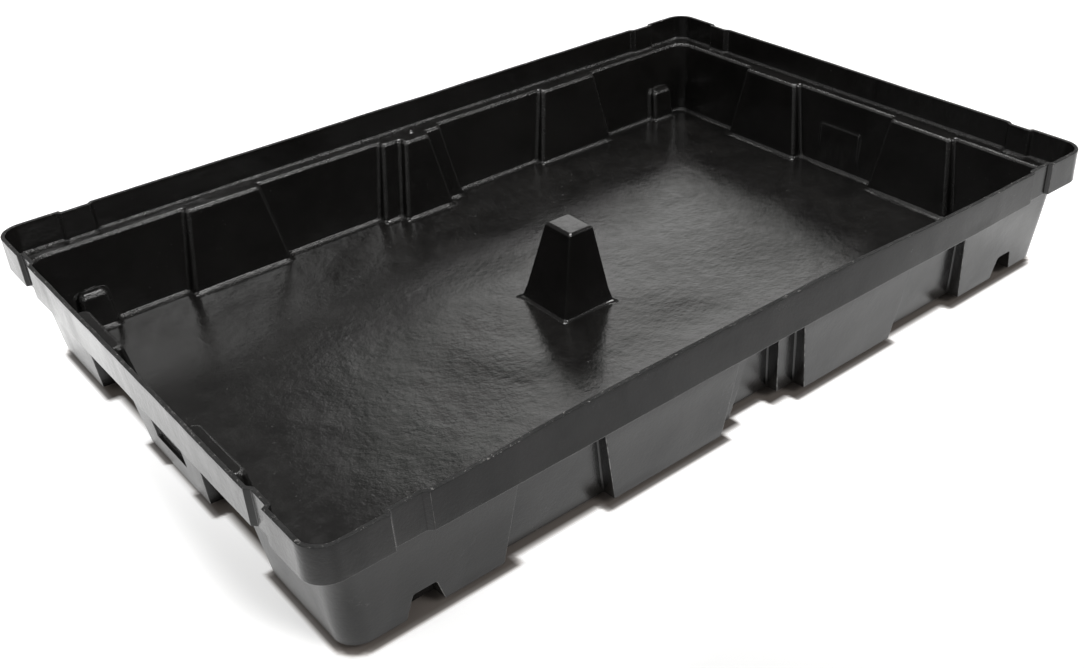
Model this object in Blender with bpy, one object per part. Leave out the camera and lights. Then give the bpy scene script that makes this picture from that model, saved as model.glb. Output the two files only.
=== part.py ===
"""Euro-pallet sized spill containment tray, formed from one black plastic sheet.

Run with: blender --background --python part.py

The tray is one moulding. Each formed region (floor, walls, wall corners, ledge,
rim, centre post, grid stops) is its own object, so that the hollow stays open and
every region can be named. Frame: +X along the long side, +Z up, origin on the
standing surface under the middle. Front is -Y, back is +Y, left is -X, right is +X.
"""
from math import cos, pi, sin

import bmesh
import bpy
from mathutils import Matrix, Vector

# Overall sizes, in metres.
LENGTH = 1.200
WIDTH = 0.800
RIM_TOP = 0.175
LEDGE_TOP = 0.1335
LEDGE_UNDER = 0.130
EDGE_BOTTOM = 0.010          # the walls stop this far above the standing surface
RIM_SHEET = 0.005
SHEET = 0.004                # wall, ledge and floor thickness
GAP = 0.0003                 # joint line between neighbouring regions
MERGE = 0.00001              # points closer than this are one point

# Rim: a proud panel on each side and on each corner, with a shallow inset between.
RIM_RADIUS = 0.030
RIM_INSET = 0.005
RIM_STEP_RUN = 0.006
LONG_PANEL_END = 0.476       # half length of the proud panel on a long side
SHORT_PANEL_END = 0.279
LONG_CORNER_START = 0.518    # where the corner panel starts on a long side
SHORT_CORNER_START = 0.315

# Walls: how far each plane lies inside the rim, at the ledge and at the bottom edge.
PLANE_TOP = {"outer": 0.0195, "middle": 0.031, "inner": 0.0465}
PLANE_BOTTOM = {"outer": 0.031, "middle": 0.048, "inner": 0.064}
WALL_RADIUS = 0.028
STEP_RUN = 0.003             # plan length of a step from one plane to the next
END_SLOPE = 0.18             # draft of a panel's ends, as run over drop
MID_HEIGHT = 0.070           # the height at which the panel ends below are stated
LONG_CENTRE_RECESS = 0.031
LONG_PANEL_INNER = 0.0615
LONG_PANEL_OUTER = 0.246
LONG_FOOT_START = 0.374
SHORT_PANEL_HALF = 0.088
SHORT_FOOT_START = 0.214

# Lifting recesses at the foot of the long walls, near the corners.
FRONT_RECESS = {"centre": 0.4805, "half": 0.0225, "height": 0.031, "depth": 0.018}
BACK_RECESS = {"centre": 0.515, "half": 0.0205, "height": 0.055, "depth": 0.014}
RECESS_LEAN = 0.009          # each side of a recess leans in by this much
RECESS_BELOW = 0.004         # the cutting blocks run this far below the walls' bottom edge
RECESS_OUT = 0.030           # and this far out in front of the wall
STUB_SINK = 0.0015           # a stub starts this far inside the wall's outer face

# Floor and centre post.
DISH_HALF_X = 0.450          # the low middle of the floor, which the tray stands on
DISH_HALF_Y = 0.250
DISH_SPREAD = (0.83, 0.76)   # how the floor's edge points gather round the low middle
POST_TOP_X = 0.0203
POST_TOP_Y = 0.0264
POST_BASE_X = 0.0430
POST_BASE_Y = 0.0478
POST_TOP = 0.1215

# Grid stop: a small dome on the ledge at the middle of each long side.
STOP_RADIUS = 0.0048
STOP_HEIGHT = 0.0032
STOP_INSET = 0.0215

HALF_LENGTH = LENGTH / 2
HALF_WIDTH = WIDTH / 2
CORNER_NAMES = ("front_right", "back_right", "back_left", "front_left")
ARC_STEPS = 6
CORNER_CLEAR = 0.0005        # a wall stops this far before its corner's arc
MOUTH_REACH = (-0.010, 0.020)    # how far the block that opens the floor under the post reaches

# Faces of a block whose vertices are its low four corners and then its high four.
BLOCK_FACES = [(0, 1, 2, 3), (4, 5, 6, 7), (0, 1, 5, 4), (1, 2, 6, 5), (2, 3, 7, 6), (3, 0, 4, 7)]

# Colour and roughness of each region's plastic.
WALL_FINISH = ((0.020, 0.020, 0.021), 0.42)
RIM_FINISH = ((0.024, 0.024, 0.025), 0.45)
LEDGE_FINISH = ((0.022, 0.022, 0.023), 0.35)
FLOOR_FINISH = ((0.020, 0.020, 0.022), 0.30)
POST_FINISH = ((0.018, 0.018, 0.020), 0.32)


def clear_scene():
    for item in list(bpy.data.objects):
        bpy.data.objects.remove(item, do_unlink=True)


def plastic(name, finish):
    colour, roughness = finish
    material = bpy.data.materials.new(name)
    material.use_nodes = True
    shader = material.node_tree.nodes["Principled BSDF"]
    shader.inputs["Base Color"].default_value = (*colour, 1.0)
    shader.inputs["Roughness"].default_value = roughness
    shader.inputs["Metallic"].default_value = 0.0
    return material


def add_object(name, vertices, faces, finish):
    """Make a closed solid with its faces pointing out and a material of its own."""
    mesh = bpy.data.meshes.new(name)
    mesh.from_pydata([tuple(v) for v in vertices], [], faces)
    shape = bmesh.new()
    shape.from_mesh(mesh)
    bmesh.ops.remove_doubles(shape, verts=shape.verts, dist=MERGE)
    bmesh.ops.recalc_face_normals(shape, faces=shape.faces)
    shape.to_mesh(mesh)
    shape.free()
    mesh.materials.append(plastic(name + "_plastic", finish))
    item = bpy.data.objects.new(name, mesh)
    bpy.context.scene.collection.objects.link(item)
    return item


def ring_solid(name, sections, finish):
    """Loft closed four-point sections along a line and cap both ends."""
    count = len(sections[0])
    vertices = [point for section in sections for point in section]
    faces = [tuple(range(count)), tuple(len(vertices) - count + k for k in range(count))]
    for s in range(len(sections) - 1):
        for k in range(count):
            here = s * count + k
            beside = s * count + (k + 1) % count
            faces.append((here, beside, beside + count, here + count))
    return add_object(name, vertices, faces, finish)


def side_point(side, along, inset, height):
    """A point given by its place along a side and its distance inside the rim."""
    if side == "front":
        return Vector((along, -(HALF_WIDTH - inset), height))
    if side == "back":
        return Vector((-along, HALF_WIDTH - inset, height))
    if side == "right":
        return Vector((HALF_LENGTH - inset, along, height))
    return Vector((-(HALF_LENGTH - inset), -along, height))


def corner_turn(index):
    """The signs of x and y at a corner, in the order of CORNER_NAMES."""
    return ((1, -1), (1, 1), (-1, 1), (-1, -1))[index]


def drop_share(height):
    return (LEDGE_TOP - height) / (LEDGE_TOP - EDGE_BOTTOM)


def plane_inset(plane, height):
    share = drop_share(height)
    return PLANE_TOP[plane] * (1 - share) + PLANE_BOTTOM[plane] * share


def panel_end(middle, grows, height):
    """A panel's end: proud panels narrow downwards and recesses widen."""
    return middle + grows * END_SLOPE * (MID_HEIGHT - height)


def long_wall_half(height):
    """Outline of half a long wall, from its middle out, as (along, inset)."""
    inner = plane_inset("inner", height)
    middle = plane_inset("middle", height)
    outer = plane_inset("outer", height)
    recess = panel_end(LONG_CENTRE_RECESS, 1, height)
    panel_start = panel_end(LONG_PANEL_INNER, 1, height)
    panel_stop = panel_end(LONG_PANEL_OUTER, -1, height)
    foot = panel_end(LONG_FOOT_START, 1, height)
    return [
        (recess - STEP_RUN, inner), (recess, middle),
        (panel_start - STEP_RUN, middle), (panel_start, outer),
        (panel_stop, outer), (panel_stop + STEP_RUN, middle),
        (foot - STEP_RUN, middle), (foot, outer),
        (wall_end("front"), outer),
    ]


def short_wall_half(height):
    middle = plane_inset("middle", height)
    outer = plane_inset("outer", height)
    panel = panel_end(SHORT_PANEL_HALF, -1, height)
    foot = panel_end(SHORT_FOOT_START, 1, height)
    return [
        (panel, outer), (panel + STEP_RUN, middle),
        (foot - STEP_RUN, middle), (foot, outer),
        (wall_end("right"), outer),
    ]


def wall_end(side):
    """Where a wall region stops and the wall corner starts."""
    half = HALF_LENGTH if side in ("front", "back") else HALF_WIDTH
    return half - PLANE_BOTTOM["outer"] - WALL_RADIUS - CORNER_CLEAR


def wall_outline(side, height):
    half = long_wall_half(height) if side in ("front", "back") else short_wall_half(height)
    return [(-along, inset) for along, inset in reversed(half)] + half


def make_wall(side):
    heights = (EDGE_BOTTOM, LEDGE_UNDER - GAP)
    low, high = (wall_outline(side, height) for height in heights)
    sections = []
    for (along_low, inset_low), (along_high, inset_high) in zip(low, high):
        sections.append([
            side_point(side, along_low, inset_low, heights[0]),
            side_point(side, along_high, inset_high, heights[1]),
            side_point(side, along_high, inset_high + SHEET, heights[1]),
            side_point(side, along_low, inset_low + SHEET, heights[0]),
        ])
    return ring_solid(side + "_wall", sections, WALL_FINISH)


def recess_solid(name, side, recess, along, grow, foot, lean_in):
    """A block for a lifting recess: the stub inside the wall, its hollow, or a notch."""
    head = EDGE_BOTTOM + recess["height"] + grow
    face = plane_inset("outer", EDGE_BOTTOM)
    front = face + STUB_SINK if grow else face - RECESS_OUT
    back = face + recess["depth"] + grow
    vertices = []
    for height, lean in ((foot, 0.0), (head, lean_in)):
        reach = recess["half"] - lean + grow
        for offset, inset in ((-reach, front), (reach, front), (reach, back), (-reach, back)):
            vertices.append(side_point(side, along + offset, inset, height))
    return add_object(name, vertices, BLOCK_FACES, WALL_FINISH)


def use_as_cutter(item):
    item.hide_render = True
    item.display_type = "WIRE"


def add_boolean(item, other, operation):
    modifier = item.modifiers.new(other.name, "BOOLEAN")
    modifier.operation = operation
    modifier.object = other
    modifier.solver = "EXACT"


def form_recesses(wall, floor, side, recess):
    """Push each lifting recess into the wall, and cut the floor's edge back round it."""
    low = EDGE_BOTTOM - RECESS_BELOW
    steps = (
        ("stub", wall, "UNION", SHEET, EDGE_BOTTOM, RECESS_LEAN),
        ("hollow", wall, "DIFFERENCE", 0.0, low, RECESS_LEAN),
        ("notch", floor, "DIFFERENCE", SHEET + GAP, low, 0.0),
    )
    for end in (-1, 1):
        along = end * recess["centre"]
        for kind, target, operation, grow, foot, lean in steps:
            name = f"{side}_{kind}_{end}"
            block = recess_solid(name, side, recess, along, grow, foot, lean)
            use_as_cutter(block)
            add_boolean(target, block, operation)


def corner_path(turn, centre_x, centre_y, radius, reach_x, reach_y):
    """Plan points round a corner: a straight lead-in, the arc and a straight lead-out."""
    points = [(reach_x, centre_y + radius)]
    for step in range(ARC_STEPS + 1):
        angle = pi / 2 * (1 - step / ARC_STEPS)
        points.append((centre_x + radius * cos(angle), centre_y + radius * sin(angle)))
    points.append((centre_x + radius, reach_y))
    return [(turn[0] * x, turn[1] * y) for x, y in points]


def wall_corner_path(turn, height, thickness):
    inset = plane_inset("outer", height)
    return corner_path(
        turn,
        HALF_LENGTH - inset - WALL_RADIUS, HALF_WIDTH - inset - WALL_RADIUS,
        WALL_RADIUS - thickness,
        wall_end("front") + GAP, wall_end("right") + GAP,
    )


def make_wall_corner(index):
    turn = corner_turn(index)
    heights = (EDGE_BOTTOM, LEDGE_UNDER - GAP)
    low, high = heights
    rails = []
    for height, thickness in ((low, 0), (high, 0), (high, SHEET), (low, SHEET)):
        path = wall_corner_path(turn, height, thickness)
        rails.append([Vector((x, y, height)) for x, y in path])
    sections = [list(section) for section in zip(*rails)]
    return ring_solid("wall_corner_" + CORNER_NAMES[index], sections, WALL_FINISH)


def rim_half(side):
    """Outline of half a rim side, from its middle out, as (along, inset)."""
    panel = LONG_PANEL_END if side in ("front", "back") else SHORT_PANEL_END
    corner = LONG_CORNER_START if side in ("front", "back") else SHORT_CORNER_START
    return [(panel, 0.0), (panel + RIM_STEP_RUN, RIM_INSET), (corner - GAP, RIM_INSET)]


def make_rim(side):
    half = rim_half(side)
    outline = [(-along, inset) for along, inset in reversed(half)] + half
    sections = []
    for along, inset in outline:
        sections.append([
            side_point(side, along, inset, LEDGE_UNDER),
            side_point(side, along, inset, RIM_TOP),
            side_point(side, along, inset + RIM_SHEET, RIM_TOP),
            side_point(side, along, inset + RIM_SHEET, LEDGE_UNDER),
        ])
    return ring_solid("rim_" + side, sections, RIM_FINISH)


def make_rim_corner(index):
    turn = corner_turn(index)
    corners = ((LEDGE_UNDER, 0), (RIM_TOP, 0), (RIM_TOP, RIM_SHEET), (LEDGE_UNDER, RIM_SHEET))
    rails = []
    for height, thickness in corners:
        path = corner_path(
            turn, HALF_LENGTH - RIM_RADIUS, HALF_WIDTH - RIM_RADIUS, RIM_RADIUS - thickness,
            LONG_CORNER_START, SHORT_CORNER_START,
        )
        rails.append([Vector((x, y, height)) for x, y in path])
    sections = [list(section) for section in zip(*rails)]
    return ring_solid("rim_corner_" + CORNER_NAMES[index], sections, RIM_FINISH)


def ledge_outlines(side):
    """Matching outer and inner plan points of half a ledge strip, from its middle out."""
    panel_end_at, inset_start, corner_start = (along for along, _ in rim_half(side))
    wall = long_wall_half(LEDGE_TOP) if side in ("front", "back") else short_wall_half(LEDGE_TOP)
    foot_inset = wall[-1][1]
    beside_panel = RIM_SHEET + GAP
    beside_inset = RIM_INSET + RIM_SHEET + GAP
    outer = [(along, beside_panel) for along, _ in wall[:-1]]
    outer += [
        (panel_end_at, beside_panel), (inset_start, beside_inset),
        (corner_start + GAP, beside_inset), (corner_start + 2 * GAP, beside_panel),
        (wall_end(side) - GAP, beside_panel),
    ]
    inner = [(along, inset + SHEET) for along, inset in wall[:-1]]
    inner += [(along, foot_inset + SHEET) for along, _ in outer[len(wall) - 1:]]
    return outer, inner


def make_ledge(side):
    outer, inner = ledge_outlines(side)
    outer = [(-along, inset) for along, inset in reversed(outer)] + outer
    inner = [(-along, inset) for along, inset in reversed(inner)] + inner
    sections = []
    for (along_out, inset_out), (along_in, inset_in) in zip(outer, inner):
        sections.append([
            side_point(side, along_out, inset_out, LEDGE_UNDER),
            side_point(side, along_out, inset_out, LEDGE_TOP),
            side_point(side, along_in, inset_in, LEDGE_TOP),
            side_point(side, along_in, inset_in, LEDGE_UNDER),
        ])
    return ring_solid("ledge_" + side, sections, LEDGE_FINISH)


def make_ledge_corner(index):
    turn = corner_turn(index)
    inner = wall_corner_path(turn, LEDGE_TOP, SHEET)
    outer = corner_path(
        turn, HALF_LENGTH - RIM_RADIUS, HALF_WIDTH - RIM_RADIUS, RIM_RADIUS - RIM_SHEET - GAP,
        wall_end("front") + GAP, wall_end("right") + GAP,
    )
    sections = []
    for (out_x, out_y), (in_x, in_y) in zip(outer, inner):
        sections.append([
            Vector((out_x, out_y, LEDGE_UNDER)), Vector((out_x, out_y, LEDGE_TOP)),
            Vector((in_x, in_y, LEDGE_TOP)), Vector((in_x, in_y, LEDGE_UNDER)),
        ])
    return ring_solid("ledge_corner_" + CORNER_NAMES[index], sections, LEDGE_FINISH)


def floor_outline(height):
    """The floor's edge in plan, a gap inside the walls' inner faces."""
    clear = SHEET + GAP
    points = []
    for index, side in enumerate(("front", "right", "back", "left")):
        for along, inset in wall_outline(side, height):
            points.append(side_point(side, along, inset + clear, 0).xy)
        turn = corner_turn(index)
        inset = plane_inset("outer", height)
        path = corner_path(
            turn, HALF_LENGTH - inset - WALL_RADIUS, HALF_WIDTH - inset - WALL_RADIUS,
            WALL_RADIUS - clear, wall_end("front"), wall_end("right"),
        )[2:-2]
        points.extend(Vector(p) for p in (reversed(path) if index in (1, 3) else path))
    return points


def dish_point(point):
    """The point of the low middle's outline that belongs to a point of the floor's edge."""
    x = max(-DISH_HALF_X, min(DISH_HALF_X, point.x * DISH_SPREAD[0]))
    y = max(-DISH_HALF_Y, min(DISH_HALF_Y, point.y * DISH_SPREAD[1]))
    return Vector((x, y))


def make_floor():
    edge = floor_outline(EDGE_BOTTOM)
    dish = [dish_point(point) for point in edge]
    count = len(edge)
    rings = (
        (edge, EDGE_BOTTOM), (dish, 0.0),
        (dish, SHEET), (edge, EDGE_BOTTOM + SHEET),
    )
    vertices = [Vector((p.x, p.y, height)) for outline, height in rings for p in outline]
    vertices += [Vector((0, 0, 0)), Vector((0, 0, SHEET))]
    faces = []
    for k in range(count):
        beside = (k + 1) % count
        for ring in (0, 2, 3):
            low = ring * count
            high = (ring + 1) % 4 * count
            faces.append((low + k, low + beside, high + beside, high + k))
        faces.append((4 * count, count + k, count + beside))
        faces.append((4 * count + 1, 2 * count + k, 2 * count + beside))
    floor = add_object("floor_pan", vertices, faces, FLOOR_FINISH)
    block = block_corners(POST_BASE_X + GAP, POST_BASE_Y + GAP, *MOUTH_REACH)
    mouth = add_object("floor_mouth", block, BLOCK_FACES, FLOOR_FINISH)
    use_as_cutter(mouth)
    add_boolean(floor, mouth, "DIFFERENCE")
    return floor


def block_corners(half_x, half_y, low, high):
    plan = ((-half_x, -half_y), (half_x, -half_y), (half_x, half_y), (-half_x, half_y))
    return [Vector((x, y, z)) for z in (low, high) for x, y in plan]


def make_post():
    """A hollow four-sided post, open underneath like the rest of the formed sheet."""
    rings = (
        (POST_BASE_X, POST_BASE_Y, 0.0),
        (POST_TOP_X, POST_TOP_Y, POST_TOP),
        (POST_TOP_X - SHEET, POST_TOP_Y - SHEET, POST_TOP - SHEET),
        (POST_BASE_X - SHEET, POST_BASE_Y - SHEET, 0.0),
    )
    vertices = [
        Vector((x, y, height)) for half_x, half_y, height in rings
        for x, y in ((-half_x, -half_y), (half_x, -half_y), (half_x, half_y), (-half_x, half_y))
    ]
    faces = [(4, 5, 6, 7), (8, 9, 10, 11)]
    for k in range(4):
        beside = (k + 1) % 4
        for low, high in ((0, 4), (8, 12), (12, 0)):
            faces.append((low + k, low + beside, high + beside, high + k))
    return add_object("centre_post", vertices, faces, POST_FINISH)


def make_grid_stop(side):
    centre = side_point(side, 0.0, STOP_INSET, LEDGE_TOP + GAP)
    shape = bmesh.new()
    bmesh.ops.create_uvsphere(shape, u_segments=16, v_segments=8, radius=STOP_RADIUS)
    cut = bmesh.ops.bisect_plane(
        shape, geom=shape.verts[:] + shape.edges[:] + shape.faces[:],
        plane_co=(0, 0, 0), plane_no=(0, 0, -1), clear_outer=True,
    )
    rim = [edge for edge in cut["geom_cut"] if isinstance(edge, bmesh.types.BMEdge)]
    bmesh.ops.edgeloop_fill(shape, edges=rim)
    squash = Matrix.Diagonal((1.0, 1.0, STOP_HEIGHT / STOP_RADIUS, 1.0))
    bmesh.ops.transform(shape, matrix=squash, verts=shape.verts)
    mesh = bpy.data.meshes.new("grid_stop_" + side)
    bmesh.ops.recalc_face_normals(shape, faces=shape.faces)
    shape.to_mesh(mesh)
    shape.free()
    mesh.materials.append(plastic(mesh.name + "_plastic", LEDGE_FINISH))
    mesh.shade_smooth()
    item = bpy.data.objects.new(mesh.name, mesh)
    item.location = centre
    bpy.context.scene.collection.objects.link(item)
    return item


def main():
    clear_scene()
    floor = make_floor()
    make_post()
    for side in ("front", "back", "left", "right"):
        wall = make_wall(side)
        make_rim(side)
        make_ledge(side)
        if side == "front":
            form_recesses(wall, floor, side, FRONT_RECESS)
        if side == "back":
            form_recesses(wall, floor, side, BACK_RECESS)
    for index in range(len(CORNER_NAMES)):
        make_wall_corner(index)
        make_rim_corner(index)
        make_ledge_corner(index)
    for side in ("front", "back"):
        make_grid_stop(side)


main()
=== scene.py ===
"""Looks of the black spill containment tray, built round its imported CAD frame.

The real tray is one sheet of plastic drawn over a mould. The script lofts that sheet as
closed rings of points: up the mould side from the post's hollow to the trimmed edge, then
down the glossy inner side to the top of the post. The rings are cut into the same named
regions as the CAD model, and each region is a closed piece of sheet with its own two faces.
"""

from math import ceil, cos, pi, radians, sin, sqrt, tan

import bpy
import numpy as np
from mathutils import Matrix, Vector
from mathutils.geometry import delaunay_2d_cdt
from mathutils.kdtree import KDTree


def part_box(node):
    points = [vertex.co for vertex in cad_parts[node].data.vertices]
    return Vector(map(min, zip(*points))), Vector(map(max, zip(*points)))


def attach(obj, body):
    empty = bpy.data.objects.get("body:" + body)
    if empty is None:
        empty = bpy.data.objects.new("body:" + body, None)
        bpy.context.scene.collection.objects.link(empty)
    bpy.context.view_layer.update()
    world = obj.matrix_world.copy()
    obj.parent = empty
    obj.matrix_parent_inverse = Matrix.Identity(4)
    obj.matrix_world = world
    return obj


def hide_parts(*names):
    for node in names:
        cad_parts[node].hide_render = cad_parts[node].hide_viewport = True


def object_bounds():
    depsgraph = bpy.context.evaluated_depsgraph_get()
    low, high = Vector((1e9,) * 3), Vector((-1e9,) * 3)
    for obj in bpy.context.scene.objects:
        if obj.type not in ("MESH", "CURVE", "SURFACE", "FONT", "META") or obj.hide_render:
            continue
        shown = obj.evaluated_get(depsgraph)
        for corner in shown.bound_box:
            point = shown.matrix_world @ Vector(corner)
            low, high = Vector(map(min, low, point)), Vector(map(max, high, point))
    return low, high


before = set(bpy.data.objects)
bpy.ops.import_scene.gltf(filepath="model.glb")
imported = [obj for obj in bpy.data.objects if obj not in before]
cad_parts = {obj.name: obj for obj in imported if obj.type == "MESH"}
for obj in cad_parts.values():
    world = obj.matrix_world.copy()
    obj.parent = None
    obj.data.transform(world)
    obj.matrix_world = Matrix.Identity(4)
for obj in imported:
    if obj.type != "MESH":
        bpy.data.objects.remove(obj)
CAD_LOW, CAD_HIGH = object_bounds()

# Sizes read from the frame, in metres.
HALF_LENGTH = CAD_HIGH.x
HALF_WIDTH = CAD_HIGH.y
RIM_TOP = CAD_HIGH.z
LEDGE_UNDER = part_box("ledge_front")[0].z
LEDGE_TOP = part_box("ledge_front")[1].z
EDGE_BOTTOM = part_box("front_wall")[0].z
POST_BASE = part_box("centre_post")[1].xy
POST_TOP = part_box("centre_post")[1].z

# The sheet.
RIM_SHEET = 0.005
SHEET = 0.004

# Rim: proud panels with shallow insets between them.
RIM_INSET = 0.005
RIM_STEP_RUN = 0.006
RIM_CORNER_RUN = 0.002
RIM_RADIUS = 0.030
RIM_PANEL_END = {"long": 0.476, "short": 0.279}
RIM_CORNER_START = {"long": 0.518, "short": 0.315}

# Walls: how far each plane lies inside the rim, at the ledge and at the bottom edge.
PLANE_TOP = {"outer": 0.0195, "middle": 0.031, "inner": 0.0465}
PLANE_BOTTOM = {"outer": 0.031, "middle": 0.048, "inner": 0.064}
WALL_RADIUS = 0.028
STEP_RUN = 0.0016
END_SLOPE = 0.18
MID_HEIGHT = 0.070
LONG_RECESS = 0.031
LONG_PANEL_INNER = 0.0615
LONG_PANEL_OUTER = 0.246
LONG_FOOT = 0.374
SHORT_PANEL = 0.088
SHORT_FOOT = 0.214

# Lifting recesses at the foot of the long walls.
RECESSES = {
    "front": {
        "centre": 0.4805, "half": 0.0225, "height": 0.031,
        "depth": 0.018, "lean": 0.29, "round": 0.003,
    },
    "back": {
        "centre": 0.515, "half": 0.0205, "height": 0.055,
        "depth": 0.014, "lean": 0.06, "round": 0.010,
    },
}
RECESS_RUN = 0.0015  # plan length of a recess's side face
RECESS_CEILING = 0.0020  # height over which the recess's top face runs back out
STUB_CEILING = 0.0070  # the same on the inner side, where the sheet is rounder

# A shallow rectangular pad pushed inwards in the middle of each short wall.
PAD = {"half": 0.037, "run": 0.0015, "low": 0.040, "high": 0.088, "depth": 0.0040, "fade": 0.0012}
PAD_INNER_DEPTH = 0.0020  # the sheet softens the pad on the inner side
PAD_INNER_FADE = 0.0070
PAD_INNER_RUN = 0.0045

# Places kept for points that a ring needs only because another ring has a step there.
RIM_PLACES = {"front": (0.514, 0.520, 0.526, 0.532), "back": (0.462, 0.468, 0.474, 0.480)}
RECESS_PLACES = {"front": (0.446, 0.452, 0.458, 0.464), "back": (0.526, 0.534, 0.542, 0.550)}

# Roundings.
MOULD_EDGE = 0.0011  # crisp edges on the mould side
MOULD_FOLD = 0.0025
INNER_EDGE = 0.0066  # soft edges on the inner side
INNER_FOLD = 0.0045
LEDGE_EDGE = 0.0050
LEDGE_FOLD = 0.0045
FLOOR_FOLD = 0.0055
POST_FOLD = 0.0050
POST_EDGE = 0.0035
POST_HOLLOW_EDGE = 0.003

# Post.
POST_TOP_HALF = Vector((0.0203, 0.0264))
POST_LEAN = Vector((0.0050, -0.0050))
POST_BEVEL = 0.0042

# Grid stops.
STOP_RADIUS = 0.0072
STOP_TIP = 0.00002
STOP_HEIGHT = 0.0032
STOP_FLARE = 1.6
STOP_INSET = 0.0215
STOP_SHIFT_BACK = 0.0065
STOP_ROWS = 12
STOP_COUNT = 28

# Floor: its low middle and where the dish meets the walls.
DISH_REACH = (0.548, 0.348)
DISH_FLAT = 0.40

# The front rim's bow.
BOW_WHOLE = 0.0020
BOW_MIDDLE = 0.0100
BOW_CENTRE = -0.075
BOW_REACH = 0.320
BOW_LEDGE = 0.15  # share of the bow at the ledge
BOW_DROP = 0.03  # how far below the ledge the bow starts
BOW_FADE = (0.085, 0.045)  # distances from the front rim over which it starts

# Unevenness of the forming and of the hand-trimmed edge, as depth, wave size and seed.
WALL_DRIFT = (0.00045, 0.110, 11)
WALL_RIPPLE = (0.00009, 0.040, 12)
INNER_RIPPLE = (0.00010, 0.024, 13)
FLOOR_DRIFT = (0.00030, 0.120, 15)
FLOOR_RIPPLE = (0.00007, 0.030, 16)
TRIM_WANDER = (0.00050, 0.160, 14)
INNER_CALM = 0.6  # the inner ripple's loss in the rim
DRIFT_FADE = 0.012  # height over which the walls' drift starts
TRIM_DEPTH = 0.010  # height of rim that follows its uneven edge
TRIM_NICK = 0.00020
TRIM_SEED = 21
TORN_NICK = 0.00130
TORN_PLACE = (-0.555, -0.395)
TORN_REACH = 0.070

# Webs: folds that run out from two of the post's lower corners.
WEB_CORNERS = ((-1, 1), (1, -1))
WEB_REACH = 0.0075
WEB_WIDTH = 0.0070
WEB_HEIGHT = 0.012

# Bends, in 1/m, between which an edge starts to be rubbed paler and painted with a highlight, and a fold
# starts to coarsen.
WEAR_AND_HIGHLIGHT_BENDS = (60.0, 420.0)
FOLD_BENDS = (40.0, 190.0)

POST_SHARPNESS = 0.35  # the post's edges are smoother than the folds


def grey(value, warmth=0.0):
    """A grey, made slightly warm."""
    return (value * (1 + warmth), value, value * (1 - warmth), 1.0)


# The mould side's look: greys and roughness between clean and smeared, and marks on them.
MOULD_IOR = 1.42
MOULD_GREYS = (grey(0.0016, 0.02), grey(0.0070, 0.04))
MOULD_ROUGHNESS = (0.15, 0.26)
DUST_GREY = grey(0.050, 0.05)
SCUFF_GREY = grey(0.075, 0.03)
SCUFF_COVER = 0.55
SCUFF_ROUGHNESS = 0.15
# Pale convex edges: partly rubbed plastic, partly a painted highlight.
RUBBED_AND_HIGHLIGHT_GREY = grey(0.200, 0.02)
RUB_AND_HIGHLIGHT_LEAST = 0.14
RUB_AND_HIGHLIGHT_MOST = 0.70
GRAIN_DEPTH = 0.000035
PIT_DEPTH = 0.000160
WAVINESS_DEPTH = 0.00035

# The inner side's look, and how much coarser its grain gets from flat sheet to fold.
INNER_IOR = 1.50
INNER_GREYS = (grey(0.0036, 0.05), grey(0.0062, 0.06))
INNER_ROUGHNESS = (0.13, 0.19)
CLOUD_ROUGHNESS = 0.05
FOLD_ROUGHNESS = 0.06
FOLD_COARSENESS = (0.8, 8.0)
FOLD_GREY = grey(0.060, 0.02)
FOLD_COVER = 0.10
SPECK_GREY = grey(0.040, 0.05)
SPECK_COVER = 0.5
# Pale flecks on the inner side: painted glints standing in for light caught by the grain.
FLECK_GLINT_GREY = grey(0.0105, 0.04)
FINE_DEPTH = 0.000110
PEEL_DEPTH = 0.000190
LEATHER_DEPTH = 0.000190
PIMPLE_DEPTH = 0.000150
SAG_DEPTH = 0.000550

# The sawn edge's look.
CUT_GREYS = (grey(0.002), grey(0.010))
CUT_ROUGHNESS = (0.62, 0.85)
BURR_GREY = grey(0.30, 0.02)
BURR_DEPTH = 0.0009
TEAR_DEPTH = 0.0022

# Studio light: what the room gives, and softboxes as azimuth, elevation, half width,
# half height, roll, softness of the edges (degrees) and strength.
SOFTBOX_SIGHT = (0.05, 0.15)  # cosines from its middle between which a softbox can show
ROOM_LIGHT = 0.20
ROOM_COLOUR = (1.0, 0.995, 0.985, 1.0)
SOFTBOXES = (
    (44.5, 25, 13.5, 8.0, 25, 4.5, 1.80),
    (35, 70, 12, 12, 0, 3, 15.0),
    (162, 42, 9, 9, 0, 3, 20.0),
    (262, 42, 34, 22, 0, 12, 1.6),
)

# The lit table the tray stands on. Its tones, painted lighter near the tray as a pool of light, change
# between two distances from the tray.
TABLE_REACH = 20.0  # how many times the tray's size
TABLE_SPACING = 0.006
FOOT_SINK = 0.0068  # how far the walls' feet lie inside their middle height
TABLE_CHANGE = (0.04, 0.20)
TABLE_POOL_TONES = (0.80, 0.36)
TABLE_GLOWS = (0.85, 0.80)
# Tone of the painted shade at the tray's foot.
FOOT_SHADE_TONE = 0.15
# The lit area's edges: direction, where the light starts to fall off, where it ends, tone there.
TABLE_FALLS = (
    ((0.0, -1.0, 0.0), 0.85, 2.40, 0.42),
    ((-0.67, -0.742, 0.0), 0.60, 1.90, 0.36),
    ((0.6, -0.8, 0.0), 0.62, 2.20, 0.45),
    ((-0.95, 0.31, 0.0), 0.80, 2.60, 0.50),
)
GLOW_CORNER = ((-0.8, -0.6, 0.0), 0.30, 0.64, 0.50)
GLOW_LEFT = ((-1.0, 0.0, 0.0), 0.58, 0.66, 1.50)
FOOT_SHADE = (0.000, 0.009)  # distances outside the tray's foot over which the shade fades
SHADE_GREEN = 0.88  # the shade is faintly brown
SHADE_BLUE = 0.80
TABLE_MOTTLE = 0.98
TABLE_DROP = 0.0005  # how far the table lies under the tray

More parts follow.
